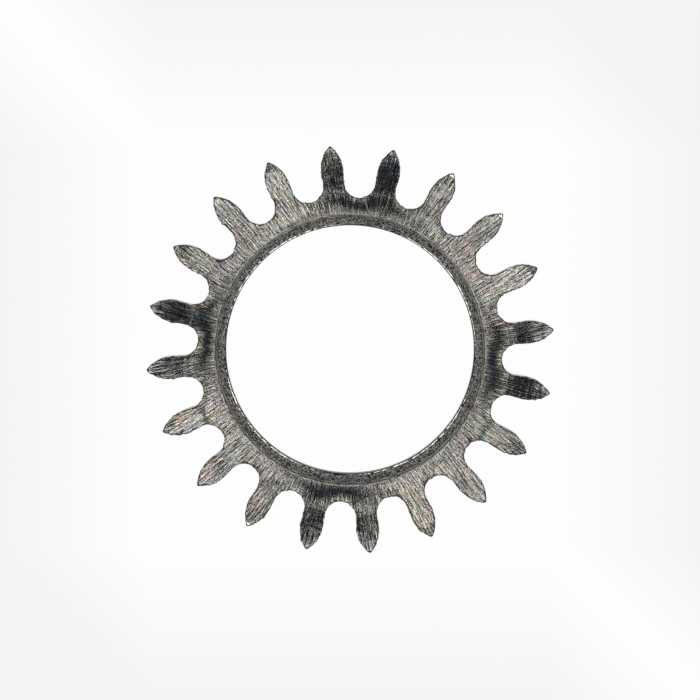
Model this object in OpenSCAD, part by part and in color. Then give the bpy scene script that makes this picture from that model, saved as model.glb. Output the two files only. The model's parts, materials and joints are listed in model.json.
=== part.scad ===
// Watch crown wheel: a flat toothed steel ring. Its blank is turned first, with a bore, a
// counterbored ledge and broken edges, and the cycloidal teeth are then cut through it.
// It lies on its underside, with +Z up through the brushed upper face. The origin is on the
// bore's axis, in the plane of the underside, and one tooth points along +X.

/* [Blank] */
// Thickness from the underside to the brushed upper face
thickness = 0.45; // [0.35:0.01:0.7]
// Width of the bevel on the blank's outer edges, which shows at the tooth tips
tip_bevel = 0.03; // [0.01:0.005:0.06]

/* [Bore] */
// Diameter of the bore, which turns on the core
bore_d = 3.08; // [2.6:0.02:3.24]
// Width of the bevel at each end of the bore
bore_bevel = 0.03; // [0.01:0.005:0.05]

/* [Recess] */
// Width of the ledge between the bore and the recess wall
ledge_w = 0.13; // [0.08:0.01:0.2]
// Depth of the ledge below the upper face
recess_depth = 0.14; // [0.05:0.01:0.22]
// Width of the bevel at the mouth of the recess
mouth_bevel = 0.03; // [0.01:0.005:0.04]

/* [Teeth] */
// Number of teeth
teeth = 20; // [19:1:40]
// Module, the pitch diameter divided by the number of teeth
module_size = 0.22; // [0.21:0.005:0.3]
// Thickness of a tooth along the pitch circle
tooth_thickness = 0.278; // [0.24:0.002:0.34]
// Height above the pitch circle at which the two flanks of a tooth would meet
addendum = 0.338; // [0.26:0.002:0.42]
// Length by which the turned rim cuts that point off each tooth
tip_cut = 0.008; // [0.004:0.002:0.03]
// Depth of the gullets below the pitch circle
dedendum = 0.316; // [0.24:0.002:0.4]

/* [Hidden] */

// Facets of a full turn of the blank
$fn = 96;
// Largest turn, in degrees, between two points of a round stretch of the tooth outline
arc_step = 8;
// Length by which the toothed prism stands past both faces of the blank
clear = 0.1;

bore_r = bore_d / 2;
recess_r = bore_r + ledge_w;
ledge_z = thickness - recess_depth;

pitch_r = module_size * teeth / 2;
tip_r = pitch_r + addendum;
root_r = pitch_r - dedendum;
blank_r = tip_r - tip_cut;
pitch_angle = 360 / teeth;
// Half the angle of a tooth and of a space, seen from the wheel's axis
tooth_angle = tooth_thickness / pitch_r * 180 / PI / 2;
space_angle = pitch_angle / 2 - tooth_angle;

// Each gullet is a circle on the middle of its space that touches both straight flanks
gullet_pos = root_r / (1 - sin(space_angle));
gullet_r = gullet_pos - root_r;

// Above the pitch circle each flank is an arc that starts in line with the straight flank
// and ends at the tip, so its centre stands square to the straight flank's end
arc_r = (tip_r ^ 2 + pitch_r ^ 2 - 2 * tip_r * pitch_r * cos(tooth_angle))
    / (2 * tip_r * sin(tooth_angle));
arc_x = pitch_r * cos(tooth_angle) + arc_r * sin(tooth_angle);
arc_y = arc_r * cos(tooth_angle) - pitch_r * sin(tooth_angle);
// Directions from the arc's centre to its ends, at the tip and at the pitch circle
arc_tip = asin(arc_y / arc_r);
arc_foot = 90 + tooth_angle;

function polar(r, a) = r * [cos(a), sin(a)];

// Points along an arc, without its last one
function arc(centre, r, from, to) =
    let (steps = ceil(abs(to - from) / arc_step))
    [for (i = [0 : steps - 1]) centre + polar(r, from + (to - from) * i / steps)];

// One pitch of the outline, counter-clockwise: the gullet, then the tooth that points along +X
function pitch_outline() =
    let (space = -pitch_angle / 2)
    concat(
        arc(polar(gullet_pos, space), gullet_r, space - 90 - space_angle, space - 270 + space_angle),
        [polar(gullet_pos * cos(space_angle), -tooth_angle)],
        arc([arc_x, arc_y], arc_r, -arc_foot, -arc_tip),
        arc([arc_x, -arc_y], arc_r, arc_tip, arc_foot),
        [polar(pitch_r, tooth_angle)]
    );

function turned(points, a) =
    [for (p = points) [p.x * cos(a) - p.y * sin(a), p.x * sin(a) + p.y * cos(a)]];

module tooth_outline() {
    polygon([for (k = [0 : teeth - 1]) each turned(pitch_outline(), k * pitch_angle)]);
}

// Half section of the blank: bore, ledge, recess wall, upper face, rim and underside
module blank_section() {
    polygon([
        [bore_r, bore_bevel],
        [bore_r, ledge_z - bore_bevel],
        [bore_r + bore_bevel, ledge_z],
        [recess_r, ledge_z],
        [recess_r, thickness - mouth_bevel],
        [recess_r + mouth_bevel, thickness],
        [blank_r - tip_bevel, thickness],
        [blank_r, thickness - tip_bevel],
        [blank_r, tip_bevel],
        [blank_r - tip_bevel, 0],
        [bore_r + bore_bevel, 0]
    ]);
}

module crown_wheel() {
    color("#7b7b76")
    intersection() {
        rotate_extrude() blank_section();
        translate([0, 0, -clear]) linear_extrude(thickness + 2 * clear) tooth_outline();
    }
}

crown_wheel();
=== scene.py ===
"""Looks of the watch crown wheel: its fine mesh, its steel finishes, the floor, lights and camera."""

import json
import math
from collections import namedtuple

import bmesh
import bpy
from mathutils import Matrix, Vector, noise


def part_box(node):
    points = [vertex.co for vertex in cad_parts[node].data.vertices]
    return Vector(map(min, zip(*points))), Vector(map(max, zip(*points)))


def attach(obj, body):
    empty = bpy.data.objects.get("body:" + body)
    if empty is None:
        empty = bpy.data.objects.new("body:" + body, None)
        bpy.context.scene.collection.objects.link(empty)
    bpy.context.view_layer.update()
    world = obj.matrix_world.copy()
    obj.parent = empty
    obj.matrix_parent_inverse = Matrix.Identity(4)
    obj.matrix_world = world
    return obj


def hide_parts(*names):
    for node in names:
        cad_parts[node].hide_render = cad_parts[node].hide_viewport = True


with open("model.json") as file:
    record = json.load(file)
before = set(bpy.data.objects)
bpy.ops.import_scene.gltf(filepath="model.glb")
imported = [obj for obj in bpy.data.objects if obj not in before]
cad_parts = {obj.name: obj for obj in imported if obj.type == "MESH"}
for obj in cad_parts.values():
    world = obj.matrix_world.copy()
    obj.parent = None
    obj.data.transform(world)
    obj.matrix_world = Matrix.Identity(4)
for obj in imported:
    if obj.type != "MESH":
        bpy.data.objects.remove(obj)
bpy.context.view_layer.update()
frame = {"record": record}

MM = 0.001
UM = 0.000001
WHEEL = "crown_wheel"

# The wheel is meshed in millimetres, as part.scad is. What the frame states is read from it.
mounts = {mount["name"]: mount for mount in frame["record"]["mounts"]}
BLANK_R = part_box(WHEEL)[1].x / MM
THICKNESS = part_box(WHEEL)[1].z / MM
BORE_R = mounts["bore"]["dims"]["r_mm"]
RECESS_R = mounts["recess"]["dims"]["r_mm"]
LEDGE_Z = mounts["ledge"]["pos_m"][2] / MM
PITCH_R = mounts["teeth"]["dims"]["pcd_mm"] / 2
TEETH = mounts["teeth"]["dims"]["count"]

# The rest has the values of part.scad
BEVEL = 0.03
TOOTH_THICKNESS = 0.278
ADDENDUM = 0.338
DEDENDUM = 0.316

# Spacing of the points along the tooth outline, number of points round each turned edge, and
# number of steps across each rounding of the turned section
STEP = 0.009
TURNED = 720
ROUND_STEPS = 7

# Blender's material slots of the wheel
BRUSHED, LEDGE, EDGE, FLANK, WALL, RIM, GLINT, LIP, BORE_EDGE, UNDER = range(10)

# Upward part of a face's normal from which the face belongs to the rounded upper edges, and from
# which it can belong to a bright tip bevel
EDGE_RISE = 0.3
BEVEL_RISE = 0.6
# Faces that meet at more than this angle keep a sharp edge between them
SHARP_ANGLE = math.radians(50)

# Teeth whose tip bevels lie flatter and so catch the light, with a painted highlight, counted from
# the one along +X, the width of such a bevel, and its width for each millimetre of its depth
GLINT_TEETH = (2, 3, 13)
GLINT_BEVEL = 0.045
GLINT_SLOPE = 2
# Its painted highlight follows the outline of the tooth's nose, which reaches this far in from the
# blank's rim, and lies between these two distances from that outline
NOSE_LENGTH = 0.12
GLINT_NEAR = 0.015
GLINT_FAR = 0.04

# Burr at the brushed face: the depth over which it fades, the length over which it dies out
# towards a tip, and how far each of its grains stands out, with the grain's size
BURR_DEPTH = 0.02
BURR_TAPER = 0.08
BURR_GRAINS = ((0.007, 0.06), (0.010, 0.028))
# Nicks in the burr: their depth and size, and how far the noise has to dip for one
NICK_DEPTH = 0.02
NICK_SIZE = 0.12
NICK_DIP = 0.35
# Fine ribs that the cutter left down the flanks
RIB_DEPTH = 0.0008
RIB_SIZE = 0.012

# Small spurs on the tooth edges: radius and angle of their place, how far they stand out, and width
SPURS = (
    (1.885, 78.9, 0.025, 0.03),
    (2.53, 0, 0.012, 0.02),
    (2.53, 162, 0.014, 0.02),
    (2.53, 342, 0.012, 0.02),
)

# Inset and depth of the rows round the tooth edges, from the brushed face to the underside
TOP_ROWS = (
    (0.011, 0),
    (0.0065, 0.0015),
    (0.003, 0.0045),
    (0.0008, 0.009),
    (0, 0.014),
    (0, 0.022),
    (0, 0.03),
    (0, 0.06),
    (0, 0.14),
)
# Inset and height of the lowest rows
BOTTOM_ROWS = ((0, 0.014), (0.0015, 0.005), (0.005, 0.0015), (0.009, 0))

# Section of the recess mouth, outwards from the recess wall and down from the brushed face
MOUTH = ((0.02, 0), (0.017, 0.0008), (0.013, 0.0025), (0.002, 0.008), (0, 0.014))
# Radius of the fillet at the foot of the recess wall, and of the bore's rounded lip
FOOT_R = 0.022
LIP_R = 0.024
# Steps of the lip, next to the bore, that are painted dark as shade
DARK_STEPS = 4

# Turn of the photographed wheel: its first tooth stands a little above the picture's right
PHOTO_TURN = math.radians(5.663)


def polar(radius, angle):
    return Vector((radius * math.cos(angle), radius * math.sin(angle)))


def arc(centre, radius, start, end, hollow=False):
    """Points and outward normals along an arc, without its last point."""
    count = max(2, math.ceil(abs(end - start) * radius / STEP))
    angles = [start + (end - start) * i / count for i in range(count)]
    side = -1 if hollow else 1
    return [(centre + polar(radius, a), polar(side, a)) for a in angles]


def half_pitch():
    """Outline from the middle of a gullet to the tip of the tooth along +X, on its +Y side."""
    tooth_angle = TOOTH_THICKNESS / PITCH_R / 2
    space_angle = math.pi / TEETH - tooth_angle
    root_r = PITCH_R - DEDENDUM
    tip_r = PITCH_R + ADDENDUM
    gullet_pos = root_r / (1 - math.sin(space_angle))
    gullet_r = gullet_pos - root_r
    arc_r = tip_r**2 + PITCH_R**2 - 2 * tip_r * PITCH_R * math.cos(tooth_angle)
    arc_r /= 2 * tip_r * math.sin(tooth_angle)
    arc_x = PITCH_R * math.cos(tooth_angle) + arc_r * math.sin(tooth_angle)
    arc_y = arc_r * math.cos(tooth_angle) - PITCH_R * math.sin(tooth_angle)
    # The tip's rounding touches both flank arcs and the blank's rim
    reach = BLANK_R - arc_x
    nose_r = (arc_r**2 - arc_y**2 - reach**2) / (2 * (arc_r - reach))
    nose_x = BLANK_R - nose_r
    nose_angle = math.atan2(arc_y, nose_x - arc_x)

    points = arc(
        polar(gullet_pos, math.pi / TEETH),
        gullet_r,
        math.pi / TEETH - math.pi,
        tooth_angle - math.pi / 2,
        hollow=True,
    )
    foot = gullet_pos * math.cos(space_angle)
    steps = math.ceil((PITCH_R - foot) / STEP)
    for i in range(steps):
        radius = foot + (PITCH_R - foot) * i / steps
        points.append((polar(radius, tooth_angle), polar(1, tooth_angle + math.pi / 2)))
    points += arc(Vector((arc_x, -arc_y)), arc_r, math.pi / 2 + tooth_angle, nose_angle)
    points += arc(Vector((nose_x, 0)), nose_r, nose_angle, 0)
    points.append((Vector((BLANK_R, 0)), Vector((1, 0))))
    return points


def outline():
    """The whole tooth outline, counter-clockwise, as points, outward normals and tooth numbers."""
    upper = half_pitch()
    lower = [(Vector((p.x, -p.y)), Vector((n.x, -n.y))) for p, n in upper]
    pitch = lower + upper[-2:0:-1]
    found = []
    for tooth in range(TEETH):
        turn = Matrix.Rotation(2 * math.pi * tooth / TEETH, 2)
        found += [(turn @ p, turn @ n, tooth) for p, n in pitch]
    return found


def rough(point, height, size):
    """Even noise of about -1 to 1 at a place on the wheel, for grains of a size in millimetres."""
    return 2 * noise.noise(Vector((point.x / size, point.y / size, height / size)))


def burr(point, height, depth):
    """How far the tooth edge stands out there: ragged at the brushed face, finely ribbed below."""
    ragged = sum(reach * rough(point, height, size) for reach, size in BURR_GRAINS)
    # Nicks and ribs run straight down, so their noise is taken at one height
    nick = min(0, NICK_DIP + rough(point, 3, NICK_SIZE)) * NICK_DEPTH
    rib = RIB_DEPTH * rough(point, 7, RIB_SIZE)
    return (ragged + nick) * math.exp(-depth / BURR_DEPTH) + rib


def spur(point, depth):
    """How far the spurs stand out there."""
    total = 0
    for radius, angle, height, width in SPURS:
        distance = (point - polar(radius, math.radians(angle))).length
        total += height * math.exp(-((distance / width) ** 2))
    return total * math.exp(-depth / BURR_DEPTH)


def tooth_row(points, inset, z):
    """One row of places round the tooth outline, kept inside the blank's broken rim."""
    depth = THICKNESS - z
    row = []
    for p, n, tooth in points:
        spike = spur(p, depth)
        # The burr dies out towards the tip, where the turned rim cuts it off
        whole = min(1, (BLANK_R - p.length) / BURR_TAPER)
        place = p + n * (burr(p, z, depth) * whole + spike - inset)
        width, slope = (GLINT_BEVEL, GLINT_SLOPE) if tooth in GLINT_TEETH else (BEVEL, 1)
        limit = BLANK_R + spike - max(0, width - depth * slope, BEVEL - z)
        if place.length > limit:
            place = place.normalized() * limit
        row.append(Vector((place.x, place.y, z)))
    return row


def round_profile(centre, radius, start, end):
    """Radii and heights along a rounding of the turned section."""
    angles = [start + (end - start) * i / ROUND_STEPS for i in range(ROUND_STEPS + 1)]
    return [(centre[0] + radius * math.cos(a), centre[1] + radius * math.sin(a)) for a in angles]


def turned_profile():
    """The turned section from the brushed face down to the underside, with a slot for each band."""
    right = math.pi / 2
    mouth = [(RECESS_R + out, THICKNESS - down) for out, down in MOUTH]
    foot = round_profile((RECESS_R - FOOT_R, LEDGE_Z + FOOT_R), FOOT_R, 0, -right)
    lip = round_profile((BORE_R + LIP_R, LEDGE_Z - LIP_R), LIP_R, right, 2 * right)
    end = [(BORE_R, BEVEL), (BORE_R + BEVEL, 0)]
    slots = [EDGE] * (len(mouth) - 1) + [WALL]
    slots += [EDGE] * ROUND_STEPS + [LEDGE]
    slots += [LIP] * (ROUND_STEPS - DARK_STEPS) + [BORE_EDGE] * DARK_STEPS + [WALL] * len(end)
    return mouth + foot + lip + end, slots


def turned_row(radius, height):
    angles = [2 * math.pi * i / TURNED for i in range(TURNED)]
    return [Vector((*polar(radius, a), height)) for a in angles]


def join_rows(mesh, first, second, slot, flip=False):
    """A closed band of faces between two rings of vertices."""
    count = len(first)
    for i in range(count):
        j = (i + 1) % count
        corners = [first[i], second[i], second[j], first[j]]
        if flip:
            corners.reverse()
        face = mesh.faces.new(corners)
        face.material_index = slot
        face.smooth = True


def fill_between(mesh, outer, inner, slot, up):
    """The flat face between two rings of vertices."""
    edges = []
    for ring in (outer, inner):
        for i in range(len(ring)):
            edges.append(mesh.edges.get((ring[i - 1], ring[i])))
    made = bmesh.ops.triangle_fill(mesh, edges=edges, use_beauty=True)
    for face in made["geom"]:
        if isinstance(face, bmesh.types.BMFace):
            face.material_index = slot
            face.normal_update()
            if (face.normal.z > 0) != up:
                face.normal_flip()


def mark_edges(mesh, points):
    """Slots the rounded upper edges as painted shade, and light-catching tip bevels as painted
    highlight.
    """
    nose_r = BLANK_R - NOSE_LENGTH
    noses = [p for p, _, tooth in points if tooth in GLINT_TEETH and p.length > nose_r]
    for face in mesh.faces:
        if face.normal.z > EDGE_RISE:
            face.material_index = RIM
            centre = face.calc_center_median().xy
            if face.normal.z > BEVEL_RISE and centre.length > BLANK_R - GLINT_BEVEL:
                if GLINT_NEAR < min((centre - p).length for p in noses) < GLINT_FAR:
                    face.material_index = GLINT


def wheel_mesh():
    mesh = bmesh.new()
    points = outline()
    heights = [(inset, THICKNESS - depth) for inset, depth in TOP_ROWS] + list(BOTTOM_ROWS)
    outer = [[mesh.verts.new(v) for v in tooth_row(points, i, z)] for i, z in heights]
    for upper, lower in zip(outer, outer[1:]):
        join_rows(mesh, upper, lower, FLANK)
    mesh.normal_update()
    mark_edges(mesh, points)
    profile, slots = turned_profile()
    inner = [[mesh.verts.new(v) for v in turned_row(r, z)] for r, z in profile]
    for upper, lower, slot in zip(inner, inner[1:], slots):
        join_rows(mesh, upper, lower, slot, flip=True)
    fill_between(mesh, outer[0], inner[0], BRUSHED, up=True)
    fill_between(mesh, outer[-1], inner[-1], UNDER, up=False)
    bmesh.ops.scale(mesh, vec=(MM, MM, MM), verts=mesh.verts)
    return mesh


# A place on the wheel in metres: the point, the point in the plane of the underside, its
# distance from the axis and its angle round it
Place = namedtuple("Place", "point flat radius angle")

# Width of the brush strokes, of the clear lines among them and of their colours, in millimetres
STROKE_WIDTH = 0.010
LINE_WIDTH = 0.0145
TINT_WIDTH = 0.02

# Layers of brush strokes on the upper face: lean from the radial direction in degrees, length in
# millimetres, and how far each layer lies below the first
STROKES = ((0, 0.7, 0), (6, 0.5, 0.02), (-6, 0.5, 0.02), (14, 0.35, 0.11), (-14, 0.35, 0.11))

# The brush strokes sway from side to side: how many times round the wheel, the tangent of the
# greatest lean that this gives them, and the sway's phase along +X
SWAY_COUNT = 4
SWAY = 0.18
SWAY_PHASE = math.radians(44.8)
# Slow noise bends neighbouring strokes together: its reach in radians and its size in millimetres
WANDER = 0.04
WANDER_SIZE = 1.5
# Distance in the noise between the tones of neighbouring lines, far enough to part them
LINE_PARTING = 7.31

# A light scratch across the ring: the radius and angle of one place on it, its lean in radians a
# millimetre, and half its width in radians
SCRATCH_R = 1.7985
SCRATCH_ANGLE = math.radians(77.8)
SCRATCH_LEAN = 0.285
SCRATCH_WIDTH = 0.007


class Nodes:
    """A material's or world's node tree, with short calls to add nodes to it."""

    def __init__(self, tree):
        self.tree = tree
        tree.nodes.clear()

    def add(self, kind, inputs=None, **settings):
        node = self.tree.nodes.new(kind)
        for name, value in settings.items():
            setattr(node, name, value)
        for key, value in (inputs or {}).items():
            self.set(node.inputs[key], value)
        return node

    def set(self, socket, value):
        if isinstance(value, bpy.types.NodeSocket):
            self.tree.links.new(value, socket)
        else:
            socket.default_value = value

    def math(self, operation, *values, clamp=False):
        inputs = dict(enumerate(values))
        return self.add("ShaderNodeMath", inputs, operation=operation, use_clamp=clamp).outputs[0]

    def vector(self, operation, *values, output=0):
        inputs = dict(enumerate(values))
        return self.add("ShaderNodeVectorMath", inputs, operation=operation).outputs[output]

    def combine(self, *axes):
        return self.add("ShaderNodeCombineXYZ", dict(enumerate(axes))).outputs[0]

    def separate(self, vector):
        return self.add("ShaderNodeSeparateXYZ", {0: vector}).outputs

    def noise(self, vector, scale=1.0, detail=0.0, output="Fac"):
        inputs = {"Vector": vector, "Scale": scale, "Detail": detail}
        return self.add("ShaderNodeTexNoise", inputs).outputs[output]

    def grain(self, point, size, detail=0.0, output="Fac"):
        """Noise with grains of a size in millimetres."""
        return self.noise(point, 1 / (size * MM), detail, output)

    def remap(self, value, low, high, to_low=0.0, to_high=1.0):
        inputs = {
            "Value": value,
            "From Min": low,
            "From Max": high,
            "To Min": to_low,
            "To Max": to_high,
        }
        return self.add("ShaderNodeMapRange", inputs).outputs[0]

    def shade(self, noise, low, high):
        """Tones from low to high: most of the noise lies between 0.35 and 0.65."""
        return self.remap(noise, 0.35, 0.65, low, high)

    def mix(self, factor, first, second, blend="MIX"):
        inputs = {0: factor, 6: first, 7: second}
        return self.add("ShaderNodeMix", inputs, data_type="RGBA", blend_type=blend).outputs[2]

    def bump(self, height, depth):
        """Relief of a depth in micrometres. Its narrow filter cuts strokes equally deep all round."""
        inputs = {"Height": height, "Distance": depth * UM, "Filter Width": 0.004}
        return self.add("ShaderNodeBump", inputs).outputs[0]

    def point(self):
        return self.add("ShaderNodeTexCoord").outputs["Object"]

    def place(self):
        point = self.point()
        flat = self.vector("MULTIPLY", point, (1, 1, 0))
        axes = self.separate(point)
        angle = self.math("ARCTAN2", axes[1], axes[0])
        return Place(point, flat, self.vector("LENGTH", flat, output=1), angle)

    def spiral(self, place, lean, length, sway=SWAY):
        """The angle round the axis, kept constant along leaning strokes, and the place along them."""
        growth = self.math("LOGARITHM", self.math("DIVIDE", place.radius, PITCH_R * MM), math.e)
        side = self.math("SINE", self.math("MULTIPLY_ADD", place.angle, SWAY_COUNT, SWAY_PHASE))
        slope = self.math("MULTIPLY_ADD", side, sway, math.tan(math.radians(lean)))
        swirl = self.math("SUBTRACT", place.angle, self.math("MULTIPLY", slope, growth))
        swirl = self.math("MULTIPLY_ADD", self.grain(place.flat, WANDER_SIZE), WANDER, swirl)
        return swirl, self.math("MULTIPLY", place.radius, 1 / (length * MM))

    def strokes(self, place, lean, length, seed, sway=SWAY):
        """Noise drawn out along brush strokes that lean by some degrees from the radial direction."""
        swirl, along = self.spiral(place, lean, length, sway)
        across = self.math("MULTIPLY", swirl, PITCH_R / STROKE_WIDTH)
        return self.noise(self.combine(across, along, seed), detail=2.0)

    def lines(self, place, width, length, seed, neighbour=0, output="Fac"):
        """Swaying lines of one width, each with a tone of its own."""
        swirl, along = self.spiral(place, 0, length)
        number = self.math("FLOOR", self.math("MULTIPLY_ADD", swirl, PITCH_R / width, neighbour))
        across = self.math("MULTIPLY", number, LINE_PARTING)
        return self.noise(self.combine(across, along, seed), detail=2.0, output=output)


def new_material(name):
    material = bpy.data.materials.new(name)
    material.use_nodes = True
    return material, Nodes(material.node_tree)


def surface(nodes, inputs):
    shader = nodes.add("ShaderNodeBsdfPrincipled", inputs)
    nodes.add("ShaderNodeOutputMaterial", {"Surface": shader.outputs[0]})


def steel(nodes, colour, normal, roughness, more=None):
    inputs = {"Base Color": colour, "Metallic": 1.0, "Roughness": roughness, "Normal": normal}
    surface(nodes, inputs | (more or {}))


def stroke_tone(nodes, place):
    """Light and dark of the upper face: strokes, specks and clear lines, some of which gleam."""
    strokes = 0.0
    for number, (lean, length, depth) in enumerate(STROKES):
        layer = nodes.strokes(place, lean, length, seed=3 + 40 * number)
        strokes = nodes.math("MAXIMUM", strokes, nodes.math("SUBTRACT", layer, depth))
    speck = nodes.grain(place.point, 0.013, detail=1)
    line = nodes.lines(place, LINE_WIDTH, length=0.25, seed=203)
    # Each line's neighbour counts against it, which makes the lines stand out
    beside = nodes.lines(place, LINE_WIDTH, length=0.25, seed=203, neighbour=1)
    gleam = nodes.lines(place, LINE_WIDTH, length=1.0, seed=333)
    tone = nodes.remap(gleam, 0.68, 0.74, to_low=0, to_high=0.3)
    for layer, share in ((strokes, 0.5), (speck, 1.0), (line, 1.6), (beside, -0.8)):
        tone = nodes.math("MULTIPLY_ADD", layer, share, tone)
    # The strokes' light and dark are grain, and partly painted shade and highlight of their
    # reflections
    return nodes.remap(tone, 0.87, 1.52, to_low=0.07, to_high=1.7)


def stroke_colour(nodes, place):
    """Cool and warm lines side by side, with a little of other colours."""
    cool = (0.355, 0.415, 0.435, 1)
    warm = (0.485, 0.405, 0.335, 1)
    warmth = nodes.remap(nodes.lines(place, TINT_WIDTH, length=0.3, seed=160), 0.3, 0.7)
    tint = nodes.lines(place, TINT_WIDTH, length=0.25, seed=120, output="Color")
    return nodes.mix(0.3, nodes.mix(warmth, cool, warm), tint, "OVERLAY")


def scratch(nodes, place):
    """1 on the scratch, which leans as the radius grows, and 0 beside it."""
    start = SCRATCH_ANGLE - SCRATCH_R * SCRATCH_LEAN
    offset = nodes.math("MULTIPLY_ADD", place.radius, -SCRATCH_LEAN / MM, place.angle)
    offset = nodes.math("ABSOLUTE", nodes.math("SUBTRACT", offset, start))
    return nodes.remap(offset, 0.5 * SCRATCH_WIDTH, SCRATCH_WIDTH, to_low=1, to_high=0)


def brushed_steel():
    """The upper face: fine strokes from the middle outwards, with some that cross them."""
    material, nodes = new_material("brushed_steel")
    place = nodes.place()
    mark = scratch(nodes, place)
    tone = nodes.math("MAXIMUM", stroke_tone(nodes, place), mark)
    colour = nodes.mix(1.0, stroke_colour(nodes, place), tone, "MULTIPLY")
    # The scratch is rougher than the strokes, so that it stays light where they reflect the dark
    roughness = nodes.math("MULTIPLY_ADD", mark, 0.5, 0.14)
    # The relief stays radial, because swaying strokes would throw light into the dark bands
    normal = nodes.bump(nodes.strokes(place, lean=0, length=0.5, seed=11, sway=0), depth=13)
    around = nodes.vector("CROSS_PRODUCT", (0, 0, 1), nodes.vector("NORMALIZE", place.flat))
    steel(nodes, colour, normal, roughness, {"Anisotropic": 0.85, "Tangent": around})
    return material


def speckled(nodes, point):
    """Height and colour of a matt, finely pitted face with small bright facets."""
    grain = nodes.grain(point, 0.016, detail=2)
    tone = nodes.remap(grain, 0.4, 0.64, to_low=0.015, to_high=0.44)
    colour = nodes.mix(1.0, tone, (1, 0.985, 0.93, 1), "MULTIPLY")
    tint = nodes.grain(point, 0.02, detail=1, output="Color")
    return grain, nodes.mix(0.4, colour, tint, "OVERLAY")


def ledge_steel():
    material, nodes = new_material("ledge_steel")
    grain, colour = speckled(nodes, nodes.point())
    steel(nodes, colour, nodes.bump(grain, depth=6), roughness=0.5)
    return material


def turned_rings(nodes, place):
    """Tone of the fine rings that the turning tool left."""
    along = nodes.math("MULTIPLY", place.angle, 14)
    across = nodes.math("DIVIDE", place.radius, 0.012 * MM)
    return nodes.shade(nodes.noise(nodes.combine(along, across), detail=1), 0.06, 0.38)


def recess_edge():
    """The recess wall's mouth and foot: a painted highlight of light flecks outside fine turned
    rings.
    """
    material, nodes = new_material("recess_edge")
    place = nodes.place()
    grain, colour = speckled(nodes, place.point)
    flecks = nodes.remap(nodes.grain(place.point, 0.015), 0.42, 0.58, to_low=0, to_high=0.6)
    streak = nodes.shade(nodes.grain(place.point, 0.08, detail=1), 0.08, 0.5)
    # Distance outside the recess wall parts the foot from the flecks, and these from the mouth
    outside = nodes.math("SUBTRACT", place.radius, RECESS_R * MM)
    above_foot = nodes.remap(outside, -0.012 * MM, -0.004 * MM)
    past_line = nodes.remap(outside, 0.011 * MM, 0.014 * MM)
    # Light flecks in a ring along the recess wall's edge: a painted highlight, broken at random
    colour = nodes.mix(flecks, colour, (0.9, 0.89, 0.84, 1))
    colour = nodes.mix(above_foot, turned_rings(nodes, place), colour)
    colour = nodes.mix(past_line, colour, streak)
    steel(nodes, colour, nodes.bump(grain, depth=3), roughness=0.45)
    return material


def cut_steel(name, colour, roughness, grain, spread, depth):
    """A cut face; its marks are as long along each axis as the grain says, in millimetres."""
    material, nodes = new_material(name)
    marks = nodes.vector("DIVIDE", nodes.point(), [size * MM for size in grain])
    height = nodes.noise(marks, detail=2)
    tone = nodes.shade(height, 1 - spread, 1 + spread)
    uneven = nodes.mix(1.0, (*colour, 1), tone, "MULTIPLY")
    steel(nodes, uneven, nodes.bump(height, depth), roughness)
    return material


def lip_steel():
    """The rounded lip of the bore: a bright line broken into flecks."""
    material, nodes = new_material("lip_steel")
    flecks = nodes.grain(nodes.point(), 0.05, detail=2)
    tone = nodes.remap(flecks, 0.38, 0.6, to_low=0.04, to_high=1.0)
    steel(nodes, tone, nodes.bump(flecks, depth=4), roughness=0.2)
    return material


def dark_edge(name, grey):
    """A torn or rounded edge painted darker than the faces beside it: painted shade."""
    material, nodes = new_material(name)
    height = nodes.grain(nodes.point(), 0.02, detail=2)
    inputs = {
        "Base Color": nodes.shade(height, 0.5 * grey, 1.5 * grey),
        "Roughness": 0.5,
        "Specular IOR Level": 0.1,
        "Normal": nodes.bump(height, depth=2),
    }
    surface(nodes, inputs)
    return material


def wheel_materials():
    """The finishes, in the order of the slots."""
    return (
        brushed_steel(),
        ledge_steel(),
        recess_edge(),
        cut_steel("milled_flank", (0.45, 0.445, 0.43), 0.35, (0.012, 0.012, 0.4), 0.2, 0.6),
        # The recess and bore walls and the bore's lower chamfer get a very dark tone: painted shade
        cut_steel("turned_wall_painted_shade", (0.09, 0.088, 0.085), 0.45, (0.4, 0.4, 0.01), 0.2, 0.6),
        # The rounded upper tooth edges are painted nearly black as shade, over the real burr in the
        # mesh
        dark_edge("rim_painted_shade", 0.06),
        # Near-white tip bevels: a painted highlight on top of the flatter bevels that really catch
        # the light
        cut_steel("tip_painted_glint", (0.9, 0.89, 0.87), 0.3, (0.02, 0.02, 0.02), 0.2, 1),
        lip_steel(),
        # The steepest steps of the bore's lip are painted nearly black: painted shade
        dark_edge("bore_edge_painted_shade", 0.015),
        cut_steel("ground_underside", (0.5, 0.49, 0.47), 0.3, (0.012, 0.5, 0.1), 0.15, 0.6),
    )


def make_wheel():
    data = bpy.data.meshes.new("wheel")
    mesh = wheel_mesh()
    mesh.to_mesh(data)
    mesh.free()
    data.set_sharp_from_angle(angle=SHARP_ANGLE)
    wheel = bpy.data.objects.new("wheel", data)
    bpy.context.scene.collection.objects.link(wheel)
    for material in wheel_materials():
        data.materials.append(material)
    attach(wheel, "root")
    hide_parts(WHEEL)


# Half the floor's width in metres, and how far it lies below the underside in micrometres
FLOOR_REACH = 1.0
FLOOR_GAP = 2
# Painted shade: grey that the floor fades towards, the distances along each axis between which its
# fade grows from 0 to 1, in millimetres, and the sum of both axes' fades from which it is fully grey
PAINTED_SHADE_GREY = 0.903
FADE_START = 2.47
FADE_END = 4.33
FADE_SUM = 1.1
# Share of the floor's whiteness that the camera and reflections see as a glow without shadow
FLOOR_GLOW = 0.975


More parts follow.
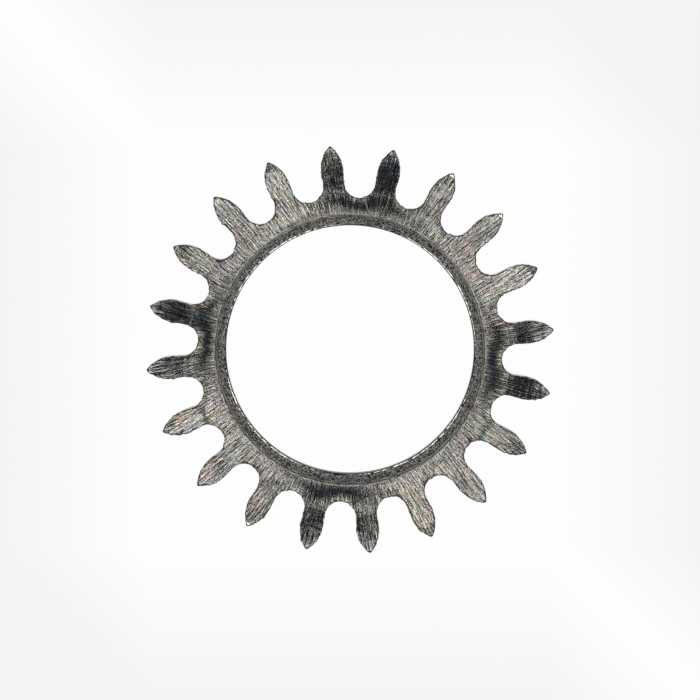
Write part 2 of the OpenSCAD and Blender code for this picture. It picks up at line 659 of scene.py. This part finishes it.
def floor_with_painted_falloff(nodes):
    """Painted shade greys its edges, save a painted streak of light from upper left to lower right.
    """
    sides = []
    for axis in nodes.separate(nodes.point())[:2]:
        high = nodes.remap(axis, FADE_START * MM, FADE_END * MM)
        low = nodes.remap(axis, -FADE_START * MM, -FADE_END * MM)
        sides.append(nodes.math("SUBTRACT", high, low))
    far = nodes.math("ABSOLUTE", nodes.math("ADD", *sides))
    grey = (PAINTED_SHADE_GREY, PAINTED_SHADE_GREY, PAINTED_SHADE_GREY, 1)
    return nodes.mix(nodes.remap(far, 0, FADE_SUM), (1, 1, 1, 1), grey)


def make_floor():
    """A floor that looks white to the camera and takes only a trace of the wheel's shadow."""
    data = bpy.data.meshes.new("floor")
    signs = ((-1, -1), (1, -1), (1, 1), (-1, 1))
    corners = [(x * FLOOR_REACH, y * FLOOR_REACH, -FLOOR_GAP * UM) for x, y in signs]
    data.from_pydata(corners, [], [(0, 1, 2, 3)])
    floor = bpy.data.objects.new("floor", data)
    bpy.context.scene.collection.objects.link(floor)
    material, nodes = new_material("white_floor")
    white = floor_with_painted_falloff(nodes)
    rays = nodes.add("ShaderNodeLightPath").outputs
    seen = nodes.math("ADD", rays["Is Camera Ray"], rays["Is Glossy Ray"])
    seen = nodes.math("ADD", seen, rays["Is Transmission Ray"], clamp=True)
    share = nodes.math("MULTIPLY", seen, FLOOR_GLOW)
    paper = nodes.add("ShaderNodeBsdfDiffuse", {"Color": white}).outputs[0]
    glow = nodes.add("ShaderNodeEmission", {"Color": white, "Strength": 1.0}).outputs[0]
    both = nodes.add("ShaderNodeMixShader", {0: share, 1: paper, 2: glow}).outputs[0]
    nodes.add("ShaderNodeOutputMaterial", {"Surface": both})
    data.materials.append(material)
    floor.rotation_euler.z = -PHOTO_TURN


# Distance of the softboxes from the wheel, and their width and height, in metres
SOFTBOX_DISTANCE = 0.3
SOFTBOX_WIDTH = 0.1
SOFTBOX_HEIGHT = 0.2
# Softboxes of each quarter turn: azimuth and zenith angle in degrees, and radiance
SOFTBOXES = ((25, 46, 2.45), (54, 46, 2.0))


def make_lights():
    """Two softboxes in each quarter, so that the brushed face has four dark bands between them."""
    for quarter in range(4):
        for number, (azimuth, zenith, radiance) in enumerate(SOFTBOXES):
            light = bpy.data.lights.new(f"softbox_{quarter}_{number}", "AREA")
            light.shape = "RECTANGLE"
            light.size = SOFTBOX_WIDTH
            light.size_y = SOFTBOX_HEIGHT
            light.color = (1, 0.97, 0.92)
            light.energy = radiance * math.pi * SOFTBOX_WIDTH * SOFTBOX_HEIGHT
            lamp = bpy.data.objects.new(light.name, light)
            turn = math.radians(azimuth + 90 * quarter) - PHOTO_TURN
            tilt = math.radians(zenith)
            away = Vector((*polar(math.sin(tilt), turn), math.cos(tilt)))
            lamp.location = SOFTBOX_DISTANCE * away
            lamp.rotation_euler = away.to_track_quat("Z", "Y").to_euler()
            lamp.visible_camera = False
            bpy.context.scene.collection.objects.link(lamp)


def make_world():
    """Dim and bluish above, pale at and below the horizon."""
    world = bpy.data.worlds.new("studio")
    world.use_nodes = True
    bpy.context.scene.world = world
    nodes = Nodes(world.node_tree)
    direction = nodes.add("ShaderNodeTexCoord").outputs["Generated"]
    pale = (0.9, 0.9, 0.9, 1)
    dim = (0.034, 0.042, 0.052, 1)
    colour = nodes.mix(nodes.remap(nodes.separate(direction)[2], 0.03, 0.1), pale, dim)
    glow = nodes.add("ShaderNodeBackground", {"Color": colour, "Strength": 1.0}).outputs[0]
    nodes.add("ShaderNodeOutputWorld", {"Surface": glow})


# Width of the picture, and how many of its pixels one millimetre of the upper face spans
PICTURE_WIDTH = 700
PIXELS_PER_MM = 80.9
# Distance of the camera from the upper face in metres, and how far above the picture's middle it
# stands, from where it sees the bore's lower wall
CAMERA_DISTANCE = 0.06
CAMERA_SHIFT = 0.035 * CAMERA_DISTANCE


def make_camera():
    """Looks at the middle of the upper face and shows the wheel turned as in the photograph."""
    data = bpy.data.cameras.new("camera")
    data.sensor_width = 36
    data.lens = data.sensor_width * CAMERA_DISTANCE / (PICTURE_WIDTH / PIXELS_PER_MM * MM)
    data.clip_start = 0.001
    data.clip_end = 10
    camera = bpy.data.objects.new("camera", data)
    place = Vector((0, CAMERA_SHIFT, THICKNESS * MM + CAMERA_DISTANCE))
    camera.location = Matrix.Rotation(-PHOTO_TURN, 3, "Z") @ place
    camera.rotation_euler = (-math.atan2(CAMERA_SHIFT, CAMERA_DISTANCE), 0, -PHOTO_TURN)
    bpy.context.scene.collection.objects.link(camera)
    bpy.context.scene.camera = camera


make_camera()
make_wheel()
make_floor()
make_lights()
make_world()
bpy.context.scene.view_settings.view_transform = "Standard"
